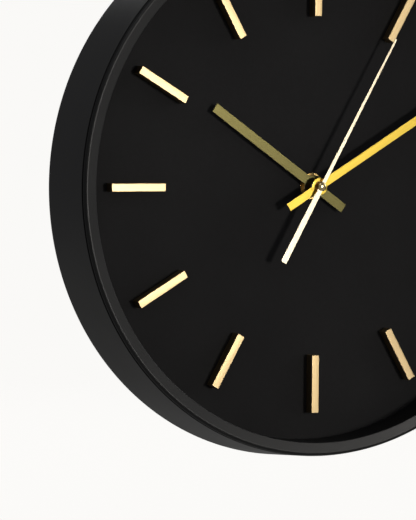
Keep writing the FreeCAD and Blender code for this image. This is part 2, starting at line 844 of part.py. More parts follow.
def build_motion_work():
    """The twelve-to-one gearing between the minute pipe and the hour wheel, and the set knob."""
    cannon_module = module_of("knob_distance", CANNON_PINION, MINUTE_WHEEL)
    hour_module = module_of("knob_distance", MINUTE_PINION, HOUR_WHEEL)

    pipe = new_body("minute_pipe")
    arbor(pipe, "minute_pipe_outer", "minute_pipe_back", "minute_pipe_front")
    toothed(pipe, CANNON_PINION, cannon_module, "cannon_depth", "cannon_length", 0)
    bore(pipe, "minute_pipe_inner", "minute_pipe_back", "minute_pipe_front - minute_pipe_back")

    wheel_phase = mesh_phase(KNOB_BEARING, CANNON_PINION, 0, MINUTE_WHEEL)
    wheel = new_body("minute_wheel", *KNOB_AXIS)
    arbor(wheel, "knob_arbor", "knob_arbor_start", "knob_arbor_end")
    toothed(wheel, MINUTE_WHEEL, cannon_module, "minute_wheel_depth", "wheel_thickness",
            wheel_phase)
    toothed(wheel, MINUTE_PINION, hour_module, "minute_wheel_depth + wheel_thickness",
            "minute_pinion_length", 0)

    hour_phase = mesh_phase(KNOB_BEARING + 180, MINUTE_PINION, 0, HOUR_WHEEL)
    hour = new_body("hour_wheel")
    arbor(hour, "hour_pipe_outer", "hour_wheel_depth", "hour_pipe_front")
    toothed(hour, HOUR_WHEEL, hour_module, "hour_wheel_depth", "hour_wheel_thickness",
            hour_phase)
    bore(hour, "hour_pipe_inner", "hour_wheel_depth", "hour_pipe_front - hour_wheel_depth")

    knob = new_body("set_knob", *KNOB_AXIS)
    disc(knob, "knob_radius", "knob_back", "knob_height")
    bore(knob, "knob_arbor + fit", "knob_arbor_start",
         "knob_back + knob_height - knob_arbor_start")
    grip = pocket(knob, circle(new_sketch(knob, depth="knob_back"), "knob_grip", "knob_radius"),
                  "knob_grip_depth")
    ring_of(knob, [grip], KNOB_GRIPS)


# ------------------------------------------------------------------------------------ electrics
def build_stepping_motor():
    """The stator round the magnet, and the coil on its core across the stator's two legs."""
    rotor_x, rotor_y = ROTOR_AXIS
    bar_low, bar_high = f"{rotor_y} - stator_bar", f"{rotor_y} + stator_bar"
    leg_top = "coil_row + core_half + bobbin_flange"
    body = new_body("stator")
    pad(body, outline(new_sketch(body, depth="stator_depth"), [
        ("stator_left", bar_low), ("stator_right", bar_low), ("stator_right", leg_top),
        ("stator_right - stator_leg", leg_top), ("stator_right - stator_leg", bar_high),
        ("stator_left + stator_leg", bar_high), ("stator_left + stator_leg", leg_top),
        ("stator_left", leg_top)]), "lamination")
    bore(body, "stator_bore", "stator_depth", "lamination", rotor_x, rotor_y)

    core = new_body("coil_core")
    pad(core, rectangle(new_sketch(core, depth="coil_middle - lamination / 2"),
                        "stator_left + 0.5", "stator_right - 0.5",
                        "coil_row - core_half", "coil_row + core_half"), "lamination")

    left = "stator_left + stator_leg + bobbin_gap"
    right = "stator_right - stator_leg - bobbin_gap"
    wound_left, wound_right = f"{left} + bobbin_flange", f"{right} - bobbin_flange"
    flanges = [rod_along_x(f"bobbin_flange_{i}", "bobbin_radius", low, high, "coil_row",
                           "coil_middle")
               for i, (low, high) in enumerate(((left, wound_left), (wound_right, right)))]

    def box_round_core(name, low, high, half, rise):
        return block(name, low, high, f"coil_row - ({half})", f"coil_row + {half}",
                     f"coil_middle - ({rise})", f"coil_middle + {rise}")

    sleeve = box_round_core("bobbin_sleeve", left, right, "sleeve_half", "sleeve_rise")
    way = box_round_core("bobbin_way", left, right, "core_half + core_gap",
                         "lamination / 2 + core_gap")
    spool = doc.addObject("Part::MultiFuse", "bobbin_solid")
    spool.Shapes = flanges + [sleeve]
    less("coil_bobbin", spool, [way])

    wound = rod_along_x("winding_solid", "winding_radius", wound_left, wound_right, "coil_row",
                        "coil_middle")
    hollow = box_round_core("winding_hollow", wound_left, wound_right, "sleeve_half",
                            "sleeve_rise")
    less("coil_winding", wound, [hollow])


def build_circuit():
    """The board with the crystal that keeps time and the blob over the driver chip."""
    board_front = "board_back + board_thickness"
    board = new_body("circuit_board")
    pad(board, rectangle(new_sketch(board, depth="board_back"), "board_left", "board_right",
                         "board_bottom", "board_top"), "board_thickness")
    can = post("crystal_can", "crystal_x", "crystal_y", "crystal_radius", "crystal_depth",
               "crystal_depth + crystal_length")
    can.Placement = FreeCAD.Placement(can.Placement.Base, FreeCAD.Rotation(V(1, 0, 0), -90))
    leads = [block(f"crystal_lead_{i}", x, f"{x} + lead_width", "crystal_y - 1.6",
                   "crystal_y + 0.2", "crystal_depth - 0.22", "crystal_depth + 0.08")
             for i, x in enumerate(("crystal_x - 2 * lead_width", "crystal_x + lead_width"))]
    joined("timing_crystal", [can] + leads)
    blob = new_body("driver_chip", *CHIP_CENTRE)
    soften(blob, disc(blob, "chip_radius", board_front, "chip_height"), "chip_round",
           round_edge_at(size("chip_radius"), size(f"{board_front} + chip_height")))


def build_contacts():
    """A sprung plate at each end of the cell bay, with a dimple towards the cell."""
    outer = "movement_half - movement_wall - contact_gap"
    face = f"{outer} - contact_thickness"
    peak = "cell_length / 2 + dimple_reach"
    for label, turn in (("positive_contact", 0), ("negative_contact", 180)):
        body = new_body(label, 0, size("cell_height"), turn)
        plate = rectangle(new_sketch(body, depth="contact_depth"), face, outer,
                          "-contact_half", "contact_half")
        pad(body, plate, "contact_height")
        dimple = outline(new_sketch(body, depth="cell_depth - dimple_half"),
                         [(face, "-dimple_base"), (face, "dimple_base"), (peak, "dimple_tip"),
                          (peak, "-dimple_tip")])
        pad(body, dimple, "2 * dimple_half")


def build_cell():
    """The AA cell, lying along X, with its positive button at the right."""
    start = "-cell_length / 2 - cell_shift"
    end = "cell_length / 2 - cell_shift"
    can = rod_along_x("cell_can", "cell_radius", start, end, "cell_height", "cell_depth")
    button = rod_along_x("cell_button", "button_radius", end, f"{end} + button_length",
                         "cell_height", "cell_depth")
    joined("aa_cell", [can, button])


# ---------------------------------------------------------------------------------------- hands
def build_hour_hand():
    """A flat bar with square ends and a round hub, on a collet pressed on the hour pipe."""
    turn = -size("hour_angle")
    body = new_body("hour_hand", turn=turn)
    half = "hour_hand_width / 2"
    pad(body, rectangle(new_sketch(body, depth="hour_hand_depth"), f"-{half}", half,
                        "-hour_hand_tail", "hour_hand_tip"), "hand_thickness")
    disc(body, "hour_hub", "hour_hand_depth", "hand_thickness")
    bore(body, "hour_pipe_outer + fit", "hour_hand_depth", "hand_thickness")
    tube("hour_collet", "hour_collet", "hour_pipe_outer + fit",
         "hour_hand_depth - hour_collet_height", "hour_collet_height")


def build_minute_hand():
    """A longer bar of the same kind, with a raised collet pressed on the minute pipe."""
    body = new_body("minute_hand", turn=-size("minute_angle"))
    half = "minute_hand_width / 2"
    pad(body, rectangle(new_sketch(body, depth="minute_hand_depth"), f"-{half}", half,
                        "-minute_hand_tail", "minute_hand_tip"), "hand_thickness")
    disc(body, "minute_hub", "minute_hand_depth", "hand_thickness")
    bore(body, "minute_collet_neck + fit", "minute_hand_depth", "hand_thickness")
    collet = new_body("minute_collet")
    low, top = "minute_hand_depth", "minute_hand_depth + hand_thickness"
    back, front = f"{low} - minute_collet_back", f"{top} + minute_collet_front"
    revolve(collet, [("minute_pipe_outer + fit", back), ("minute_collet", back),
                     ("minute_collet", low), ("minute_collet_neck", low),
                     ("minute_collet_neck", top), ("minute_collet", top),
                     ("minute_collet", front), ("minute_pipe_outer + fit", front)])


def build_second_hand():
    """A thin needle with a broad tail, on a socket tube, closed by a domed cap."""
    turn = -size("second_angle")
    body = new_body("second_hand", turn=turn)
    sketch = new_sketch(body, depth="second_hand_depth")
    right = [("second_tail_half", "-second_hand_tail"), ("second_rear_half", "-second_waist"),
             ("second_front_half", "second_waist"), ("second_tip_half", "second_hand_tip")]
    left = [(f"-{x}", y) for x, y in reversed(right)]
    outline(sketch, right + left)
    pad(body, sketch, "second_hand_thickness")
    disc(body, "second_cap_radius", "second_hand_depth", "second_hand_thickness")
    bore(body, "socket_radius + fit", "second_hand_depth", "second_hand_thickness")
    tube("second_socket", "socket_radius", "second_arbor + fit", "second_hand_depth - socket_back",
         "socket_length")
    steel = new_body("second_arbor")
    arbor(steel, "second_arbor", "arbor_start", "second_hand_depth + arbor_in_hand")
    cap = new_body("second_cap")
    low = "second_hand_depth + second_hand_thickness"
    dome = disc(cap, "second_cap_radius", low, "second_cap_height")
    soften(cap, dome, "second_cap_height - second_cap_edge",
           round_edge_at(size("second_cap_radius"), size(f"{low} + second_cap_height")))


# ----------------------------------------------------------------------------------- everything
pieces = []
build_drum_shell()
build_front_bezel()
build_screws("bezel_screws", "dial_back - ledge_thickness - screw_head_height", "bezel_screw",
             "0", "bezel_pitch", int(size("screw_count")))
build_dial()
build_hour_markers()
build_back_panel()
build_screws("panel_screws", "panel_back - screw_head_height", "panel_screw", "panel_pitch", "0",
             int(size("screw_count")))
build_hanger_plate()
build_screws("hanger_screws", "panel_back - hanger_thickness - screw_head_height",
             "hanger_screw", "hanger_screw_x", "(hanger_height + hanger_screw_rise)", 2)
build_movement_case()
train_axes = [("centre", CENTRE, "second_arbor"), ("third", THIRD_AXIS, "arbor_radius"),
              ("fifth", FIFTH_AXIS, "arbor_radius"), ("rotor", ROTOR_AXIS, "arbor_radius")]
build_movement_cover(train_axes)
build_middle_plate([("centre", CENTRE, "minute_pipe_outer"), ("knob", KNOB_AXIS, "knob_arbor")]
                   + train_axes[1:])
build_threaded_bush()
tube("rubber_gasket", "gasket_radius", "bush_outer + loose", "movement_front",
     "dial_back - movement_front")
tube("brass_washer", "washer_radius", "bush_outer + loose", "dial_back + dial_thickness",
     "washer_thickness")
build_brass_nut()
build_running_train()
build_motion_work()
build_stepping_motor()
build_circuit()
build_contacts()
build_cell()
build_hour_hand()
build_minute_hand()
build_second_hand()
doc.recompute()

# --------------------------------------------------------------------------- checks and export
for obj in doc.Objects:
    if {"Invalid", "Error"} & set(obj.State):
        raise RuntimeError(f"{obj.Name} failed: {obj.State}")
os.makedirs("parts", exist_ok=True)
for piece in pieces:
    if piece.Shape.isNull() or not piece.Shape.isValid() or piece.Shape.Volume <= 0:
        raise RuntimeError(f"{piece.Label} has no sound solid")
for piece in pieces:
    piece.Shape.exportStep(f"parts/{piece.Label}.step")
    print(f"{piece.Label:18s} solids {len(piece.Shape.Solids):2d}  volume {piece.Shape.Volume:10.1f}")
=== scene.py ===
import json
import math

import bmesh
import bpy
from mathutils import Matrix, Vector


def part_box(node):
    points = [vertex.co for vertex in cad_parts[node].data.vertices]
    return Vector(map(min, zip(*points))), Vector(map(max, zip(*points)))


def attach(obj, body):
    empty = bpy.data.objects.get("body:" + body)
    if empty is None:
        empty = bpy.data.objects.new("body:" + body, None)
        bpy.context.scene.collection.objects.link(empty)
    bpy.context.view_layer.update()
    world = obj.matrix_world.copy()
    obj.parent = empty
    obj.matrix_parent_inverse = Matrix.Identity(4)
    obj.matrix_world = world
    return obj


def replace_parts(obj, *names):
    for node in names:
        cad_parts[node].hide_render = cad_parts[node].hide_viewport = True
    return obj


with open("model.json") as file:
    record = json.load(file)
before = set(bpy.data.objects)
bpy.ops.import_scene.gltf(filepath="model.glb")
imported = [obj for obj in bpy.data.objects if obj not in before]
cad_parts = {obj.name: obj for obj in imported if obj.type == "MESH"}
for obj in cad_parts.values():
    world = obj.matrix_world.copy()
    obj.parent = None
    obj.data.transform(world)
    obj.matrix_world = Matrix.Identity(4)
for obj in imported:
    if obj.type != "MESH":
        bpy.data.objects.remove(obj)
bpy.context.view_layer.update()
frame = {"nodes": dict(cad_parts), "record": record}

# The clock hangs with its hands' axis along Y through the origin. The wall is the plane Y = 0 and
# the face looks along -Y. Pieces are drawn in millimetres as (x, up, depth), where depth is the
# distance in front of the wall, and are brought into the frame's metres when they are made.
MM = 0.001
ROUND = 360

# Where the hands rest, in degrees clockwise from twelve.
HOUR, MINUTE, SECOND = 304.35, 59.5, 29.9

# Edges that turn by more than this many degrees are kept sharp.
SHARP = 32

# Where the screws of the back panel and of the hanger plate sit.
PANEL_SCREWS = [(136 * math.cos(math.radians(60 * i)), 136 * math.sin(math.radians(60 * i)))
                for i in range(6)]
HANGER_SCREWS = [(17.0, 114.0), (-17.0, 114.0)]

# The radii of a screw's shank, of the hole it bites into and of the hole it passes through.
SHANK, PILOT, CLEARANCE = 1.28, 1.3, 1.6


# ---------------------------------------------------------------------------- the CAD's measures
def span(node):
    """The depths of a node's back and front, in millimetres."""
    low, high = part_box(node)
    return -high.y / MM, -low.y / MM


def reach(node):
    """The radius of a node that is round about the hands' axis, in millimetres."""
    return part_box(node)[1].x / MM


def middle(node):
    """Where a node's middle is on the face, in millimetres."""
    low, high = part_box(node)
    return (low.x + high.x) / 2 / MM, (low.z + high.z) / 2 / MM


# ------------------------------------------------------------------------------- mesh helpers
def add_mesh(name, vertices, faces, slot, body="case"):
    """A piece from (x, up, depth) points in millimetres, riding on a body."""
    mesh = bpy.data.meshes.new(name)
    mesh.from_pydata([(x * MM, -depth * MM, up * MM) for x, up, depth in vertices], [], faces)
    return finish_piece(name, mesh, slot, body)


def finish_piece(name, mesh, slot, body):
    """Tidy a mesh, shade it, hang it on its body and give it its slot's finish."""
    work = bmesh.new()
    work.from_mesh(mesh)
    bmesh.ops.remove_doubles(work, verts=work.verts, dist=1e-7)
    bmesh.ops.dissolve_degenerate(work, edges=work.edges, dist=1e-8)
    bmesh.ops.recalc_face_normals(work, faces=work.faces)
    work.to_mesh(mesh)
    work.free()
    mesh.shade_smooth()
    mesh.set_sharp_from_angle(angle=math.radians(SHARP))
    piece = bpy.data.objects.new(name, mesh)
    bpy.context.scene.collection.objects.link(piece)
    normals = piece.modifiers.new("flat faces stay flat", "WEIGHTED_NORMAL")
    normals.keep_sharp = True
    normals.weight = 100
    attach(piece, body)
    mesh.materials.clear()
    mesh.materials.append(materials[slot])
    return piece


def set_grain(piece, angle=0.0, offset=0.0):
    """Record each vertex's place along, across and above a piece that points at an angle."""
    layer = piece.data.attributes.new("grain", "FLOAT_VECTOR", "POINT")
    along = Vector((math.sin(math.radians(angle)), 0, math.cos(math.radians(angle))))
    across = Vector((along.z, 0, -along.x))
    for item, vertex in zip(layer.data, piece.data.vertices):
        place = vertex.co
        item.vector = (place.dot(along) + offset, place.dot(across), -place.y)
    return piece


def corners_rounded(points, steps=8):
    """A closed outline of (x, y, radius of the corner) points, as plain points with arcs."""
    result = []
    count = len(points)
    for i, (x, y, radius) in enumerate(points):
        here = Vector((x, y))
        if radius <= 0:
            result.append(here)
            continue
        back = (Vector(points[i - 1][:2]) - here).normalized()
        ahead = (Vector(points[(i + 1) % count][:2]) - here).normalized()
        half = math.acos(max(-1.0, min(1.0, back.dot(ahead)))) / 2
        centre = here + (back + ahead).normalized() * (radius / math.sin(half))
        first = here + back * (radius / math.tan(half)) - centre
        last = here + ahead * (radius / math.tan(half)) - centre
        start = math.atan2(first.y, first.x)
        sweep = (math.atan2(last.y, last.x) - start + math.pi) % (2 * math.pi) - math.pi
        for k in range(steps + 1):
            angle = start + sweep * k / steps
            result.append(centre + radius * Vector((math.cos(angle), math.sin(angle))))
    return result


def ring_faces(spokes, size, closed=True):
    """Faces between neighbouring spokes of points, where each spoke has the same size."""
    faces = []
    for i in range(spokes):
        j = (i + 1) % spokes
        for k in range(size if closed else size - 1):
            n = (k + 1) % size
            faces.append((i * size + k, i * size + n, j * size + n, j * size + k))
    return faces


def lathe(name, slot, profile, centre=(0.0, 0.0), segments=ROUND, body="case", steps=8):
    """A ring turned about an axis of the face from (radius, depth, corner radius) points."""
    points = corners_rounded(profile, steps)
    vertices = []
    for i in range(segments):
        angle = 2 * math.pi * i / segments
        for radius, depth in points:
            vertices.append((centre[0] + radius * math.cos(angle),
                             centre[1] + radius * math.sin(angle), depth))
    return add_mesh(name, vertices, ring_faces(segments, len(points)), slot, body)


def circle_points(x, y, radius, count=64):
    """Points round a circle."""
    return [Vector((x + radius * math.cos(2 * math.pi * i / count),
                    y + radius * math.sin(2 * math.pi * i / count))) for i in range(count)]


def arc_points(x, y, radius, start, sweep, count=48):
    """Points along an arc from a bearing in degrees."""
    bearings = [math.radians(start + sweep * i / count) for i in range(count + 1)]
    return [Vector((x + radius * math.cos(b), y + radius * math.sin(b))) for b in bearings]


def square_points(x_low, x_high, y_low, y_high, corner=0.0):
    """The outline of an upright rectangle whose corners may be rounded."""
    return corners_rounded([(x_low, y_low, corner), (x_high, y_low, corner),
                            (x_high, y_high, corner), (x_low, y_high, corner)])


def plate(name, slot, outer, holes, low, high, edge, body="case"):
    """A flat plate between two depths, with holes and softly rounded edges."""
    curve = bpy.data.curves.new(name, "CURVE")
    curve.dimensions = "2D"
    curve.fill_mode = "BOTH"
    for loop in [outer] + holes:
        spline = curve.splines.new("POLY")
        spline.points.add(len(loop) - 1)
        for point, place in zip(spline.points, loop):
            point.co = (place[0], place[1], 0, 1)
        spline.use_cyclic_u = True
    curve.extrude = (high - low) / 2 - edge
    curve.bevel_depth = edge
    curve.bevel_resolution = 2
    curve.offset = -edge
    holder = bpy.data.objects.new(name, curve)
    bpy.context.scene.collection.objects.link(holder)
    graph = bpy.context.evaluated_depsgraph_get()
    mesh = bpy.data.meshes.new_from_object(holder.evaluated_get(graph))
    bpy.data.objects.remove(holder)
    bpy.data.curves.remove(curve)
    centre = (low + high) / 2
    for vertex in mesh.vertices:
        x, up, above = vertex.co
        vertex.co = (x * MM, -(centre + above) * MM, up * MM)
    return finish_piece(name, mesh, slot, body)


# ----------------------------------------------------------------------------------- the case
def build_case():
    """The drum, the ring round the face and the dial, all turned about the hands' axis."""
    rear, front = span("drum_shell")
    dial_back, dial_front = span("dial")
    radius, front_radius, wall = reach("drum_shell"), 146.9, 1.8
    ledge, ledge_back = 132.0, dial_back - 2
    rim, rim_front = radius - 3, 1.4
    slope = (radius - front_radius) / (front - rear)

    def inside(depth):
        """The radius of the drum's inner face, which tapers with the outer one."""
        return radius - wall - slope * depth

    shell = lathe("shell_wall", "case_black", [
        (radius, rear, 0.5), (front_radius, front, 0.25), (inside(front), front, 0.15),
        (inside(dial_back), dial_back, 0), (ledge, dial_back, 0.2), (ledge, ledge_back, 0.2),
        (inside(ledge_back), ledge_back, 0.5), (inside(rim_front), rim_front, 0),
        (rim, rim_front, 0.2), (rim, rear, 0.2)], segments=720)
    post, post_back, post_front = 3.5, 5.1, 15.4
    for i, place in enumerate(PANEL_SCREWS):
        lathe(f"panel_post_{i}", "case_black", [
            (PILOT, post_back, 0), (post, post_back, 0.2), (post, post_front, 0),
            (PILOT, post_front, 0)], place, 32)
    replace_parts(shell, "drum_shell")

    # The ring slopes in from a rolled outer edge, and is hollow behind where the drum meets it.
    outer, crest, skirt = reach("front_bezel"), 38.0, 35.6
    bore, bore_front, bore_back = 139.3, 36.7, 141.3
    rebate, shoulder = 145.6, 144.8
    ring = lathe("face_ring", "ring_black", [
        (bore, dial_front, 0), (bore, bore_front, 0.45), (outer, crest, 1.8),
        (outer, skirt, 0.25), (rebate, skirt, 0), (rebate, front, 0),
        (shoulder, front, 0), (shoulder, front - 1, 0), (bore_back, front - 1, 0),
        (bore_back, dial_front, 0)], segments=720, steps=16)
    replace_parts(ring, "front_bezel")

    hole, edge = 4.2, reach("dial")
    face = lathe("dial_plate", "dial_black", [
        (hole, dial_back, 0), (hole, dial_front, 0.1), (edge, dial_front, 0.15),
        (edge, dial_back, 0.15)])
    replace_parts(face, "dial")


def build_markers():
    """Twelve bars with fine rounded edges, each on two pegs through the dial."""
    low, high = span("hour_markers")
    dial_front = span("dial")[1]
    inner, outer, half, peg_radius = 92.6, 124.6, 2.25, 1.0
    bars = []
    for hour in range(12):
        angle = 30 * hour
        turn = Matrix.Rotation(math.radians(-angle), 2)
        corners = [turn @ point for point in square_points(-half, half, inner, outer, 0.3)]
        bar = plate(f"marker_{hour}", "marker_gold", corners, [], dial_front, high, 0.3)
        set_grain(bar, angle, hour * 0.37)
        bars.append(bar)
        for place in (inner + 5.5, outer - 5.5):
            peg = plate(f"marker_peg_{hour}", "marker_gold",
                        circle_points(*(turn @ Vector((0, place))), peg_radius, 24), [],
                        low, dial_front, 0.05)
            set_grain(peg, angle)
    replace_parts(bars[0], "hour_markers")


# ------------------------------------------------------------------------------------ the hands
def hand_loop(hub, tail, tip, half_at):
    """The outline of a hand that points up: a bar whose half width may change, and a round hub."""
    corners = [(half_at(-tail), -tail), (half_at(tip), tip), (-half_at(tip), tip),
               (-half_at(-tail), -tail)]
    angles = {round(math.atan2(y, x), 9) for x, y in corners}
    for side in (1, -1):
        for end in (1, -1):
            half = half_at(end * hub)
            angles.add(round(math.atan2(end * math.sqrt(hub ** 2 - half ** 2), side * half), 9))
    angles |= {round(-math.pi + 2 * math.pi * (i + 0.5) / 180, 9) for i in range(180)}
    loop = []
    for angle in sorted(angles):
        way = Vector((math.cos(angle), math.sin(angle)))
        loop.append(way * max(hub, bar_reach(way, corners)))
    return loop


def bar_reach(way, corners):
    """How far a ray from the centre runs before it leaves a four-cornered bar."""
    best = math.inf
    for i, (x, y) in enumerate(corners):
        next_x, next_y = corners[(i + 1) % 4]
        out_x, out_y = next_y - y, x - next_x
        facing = way.x * out_x + way.y * out_y
        if facing > 1e-12:
            best = min(best, (x * out_x + y * out_y) / facing)
    return best


def build_hand(node, slot, body, angle, hub, hole, tail, tip, half_at, edge):
    """A flat hand with rounded edges, turned clockwise from twelve by an angle."""
    low, high = span(node)
    turn = Matrix.Rotation(math.radians(-angle), 2)
    loop = [turn @ point for point in hand_loop(hub, tail, tip, half_at)]
    hand = plate(f"{node}_blade", slot, loop, [circle_points(0, 0, hole)], low, high, edge, body)
    set_grain(hand, angle)
    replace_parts(hand, node)


def build_hands():
    """The three hands, and the domed cap over the second hand's hub."""
    # The hour hand's finish, hour_gold, is the hands' gold darkened as painted shade.
    build_hand("hour_hand", "hour_gold", "hour", HOUR, hub=6.0, hole=2.52, tail=22.1, tip=75.6,
               half_at=lambda y: 2.65, edge=0.08)
    build_hand("minute_hand", "hand_gold", "minute", MINUTE, hub=4.75, hole=2.3, tail=22.3,
               tip=105.0, half_at=lambda y: 2.25, edge=0.08)

    def needle(y):
        """Half the needle's width: broad at the tail, and tapering evenly to the tip."""
        if y < -2:
            return 1.5 + 0.35 * (y + 2) / -45.3
        return 1.1 - 0.55 * max(0, y - 2) / 91.4

    low, high = span("second_hand")
    turn = Matrix.Rotation(math.radians(-SECOND), 2)
    sides = [(needle(y), y) for y in (-47.3, -2.4)] + [(needle(y), y) for y in (2.2, 93.4)]
    hub_radius = 2.5
    hub = [(hub_radius * math.cos(a), hub_radius * math.sin(a))
           for a in (math.radians(-48 + 96 * i / 32) for i in range(33))]
    right = [sides[0], sides[1]] + hub + [sides[2], sides[3]]
    right = [point for point in right if point not in hub or point[0] > 1.2]
    loop = [turn @ Vector(point) for point in right]
    loop += [turn @ Vector((-x, y)) for x, y in reversed(right)]
    # Its finish, second_gold, is the hands' gold paled as a painted highlight.
    hand = plate("second_hand_needle", "second_gold", loop, [circle_points(0, 0, 0.95, 32)],
                 low, high, 0.05, "second")
    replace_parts(set_grain(hand, SECOND), "second_hand")

    back, front = span("second_cap")
    rise = back + 0.25
    dome = [(0, back, 0), (hub_radius, back, 0)]
    dome += [(hub_radius * math.cos(a), rise + (front - back - 0.25) * math.sin(a), 0)
             for a in (math.radians(90 * i / 24) for i in range(25))]
    cap = lathe("second_cap_dome", "cap_gold", dome, segments=128, body="second")
    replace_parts(cap, "second_cap")


def build_centre():
    """The collets, washer, six-sided nut and grooved bush round the hands' axis."""
    back, front = span("minute_collet")
    low, high = span("minute_hand")
    collet = lathe("minute_collet_ring", "gear_brass", [
        (1.52, back, 0), (2.9, back, 0.12), (2.9, low, 0), (2.28, low, 0), (2.28, high, 0),
        (2.9, high, 0), (2.9, front, 0.15), (1.52, front, 0.1)], segments=128, body="minute")
    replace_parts(collet, "minute_collet")
    back, front = span("hour_collet")
    collet = lathe("hour_collet_ring", "gear_brass", [
        (2.52, back, 0.08), (3.4, back, 0.12), (3.4, front, 0), (2.52, front, 0)],
        segments=128, body="hour")
    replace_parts(collet, "hour_collet")
    back, front = span("brass_washer")
    washer = lathe("washer_ring", "gear_brass", [
        (4.1, back, 0), (7.2, back, 0), (7.2, front, 0.12), (4.1, front, 0.12)], segments=180)
    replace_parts(washer, "brass_washer")

    back, front = span("brass_nut")
    bore, corner, spokes = 4.02, 6.5, 180
    vertices = []
    for i in range(spokes):
        angle = 2 * math.pi * i / spokes
        within = (angle - math.radians(20)) % (math.pi / 3) - math.pi / 6
        flat = corner * math.cos(math.pi / 6) / math.cos(within)
        chamfer = front - 0.12 - 0.45 * max(0.0, flat - 5.63)
        rings = ((bore, back), (4.25, back), (flat, back), (flat, chamfer),
                 (min(flat - 0.12, 5.62), front), (4.35, front), (bore, front - 0.3))
        for radius, depth in rings:
            vertices.append((radius * math.cos(angle), radius * math.sin(angle), depth))
    nut = add_mesh("nut_six_sided", vertices, ring_faces(spokes, len(rings)), "gear_brass")
    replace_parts(nut, "brass_nut")

    back, front = span("threaded_bush")
    flange, pitch = 15.6, 0.75
    bore, root, crest = 2.56, 3.72, 4.0
    thread = [(bore, back, 0), (6.0, back, 0.1), (6.0, flange, 0.1), (3.75, flange, 0)]
    depth = flange + 0.3
    while depth < front - pitch:
        thread += [(root, depth, 0), (crest, depth + 0.3, 0.04), (crest, depth + 0.42, 0.04),
                   (root, depth + 0.72, 0)]
        depth += pitch
    thread += [(root, front - 0.28, 0), (crest, front - 0.24, 0.03),
               (crest, front - 0.12, 0.03), (3.85, front, 0), (2.7, front, 0),
               (bore, front - 0.15, 0)]
    bush = lathe("bush_threaded", "gear_brass", thread, segments=128, steps=2)
    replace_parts(bush, "threaded_bush")


# ------------------------------------------------------------------------------------- the back
def build_screws():
    """Pan heads with crossed slots on plain shanks, for the panel and the hanger."""
    for node, places in (("panel_screws", PANEL_SCREWS), ("hanger_screws", HANGER_SCREWS)):
        back, front = span(node)
        screws = [screw_at(f"{node}_{number}", place, back, front)
                  for number, place in enumerate(places)]
        first = screws[0]
        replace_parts(first, node)


def screw_at(name, place, back, front):
    """One screw: rings round its axis, pressed in where the crossed slot is."""
    head, under_head, tip = 2.6, back + 1.1, 0.9
    slot_half, slot_reach = 0.32, 1.55
    profile = [(0.0, back + 0.02), (0.45, back), (0.9, back + 0.02), (1.35, back + 0.06),
               (1.6, back + 0.1), (1.9, back + 0.18), (2.2, back + 0.32), (2.45, back + 0.55),
               (head, back + 0.85), (head, under_head), (SHANK, under_head),
               (SHANK, front - 0.4), (tip, front), (0.0, front)]
    vertices = []
    count = 96
    for i in range(count):
        angle = 2 * math.pi * i / count
        for radius, depth in profile:
            x, up = radius * math.cos(angle), radius * math.sin(angle)
            slotted = (min(abs(x), abs(up)) < slot_half and radius < slot_reach
                       and depth < back + 0.2)
            deep = 0.6 - 0.25 * radius if slotted else 0.0
            vertices.append((place[0] + x, place[1] + up, depth + deep))
    return add_mesh(name, vertices, ring_faces(count, len(profile), False), "screw_steel")


def build_back():
    """The panel and the hanger plate, with the holes for their screws."""
    low, high = span("back_panel")
    radius, window = 146.7, 29.5
    screw_ways = [circle_points(*place, CLEARANCE, 32) for place in PANEL_SCREWS]
    pilots = [circle_points(*place, PILOT, 24) for place in HANGER_SCREWS]
    movement_window = square_points(-window, window, -window, window)
    nail_room = square_points(-6, 6, 103, 121)
    panel = plate("panel_flat", "panel_black", circle_points(0, 0, radius, ROUND),
                  screw_ways + pilots + [movement_window, nail_room], low, high, 0.25)
    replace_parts(panel, "back_panel")

    low, high = span("hanger_plate")
    # The keyhole is a round entry for a nail's head with a narrower slot above it.
    entry, slot, entry_up, slot_up = 4.5, 2.1, 110, 118
    lean = math.degrees(math.acos(slot / entry))
    keyhole = arc_points(0, entry_up, entry, lean, -180 - 2 * lean)
    keyhole += arc_points(0, slot_up, slot, 180, -180)
    ways = [circle_points(*place, CLEARANCE, 32) for place in HANGER_SCREWS]
    hanger = plate("hanger_pressed", "hanger_steel", square_points(-22, 22, 102, 126, 3.0),
                   [keyhole] + ways, low, high, 0.15)
    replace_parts(hanger, "hanger_plate")


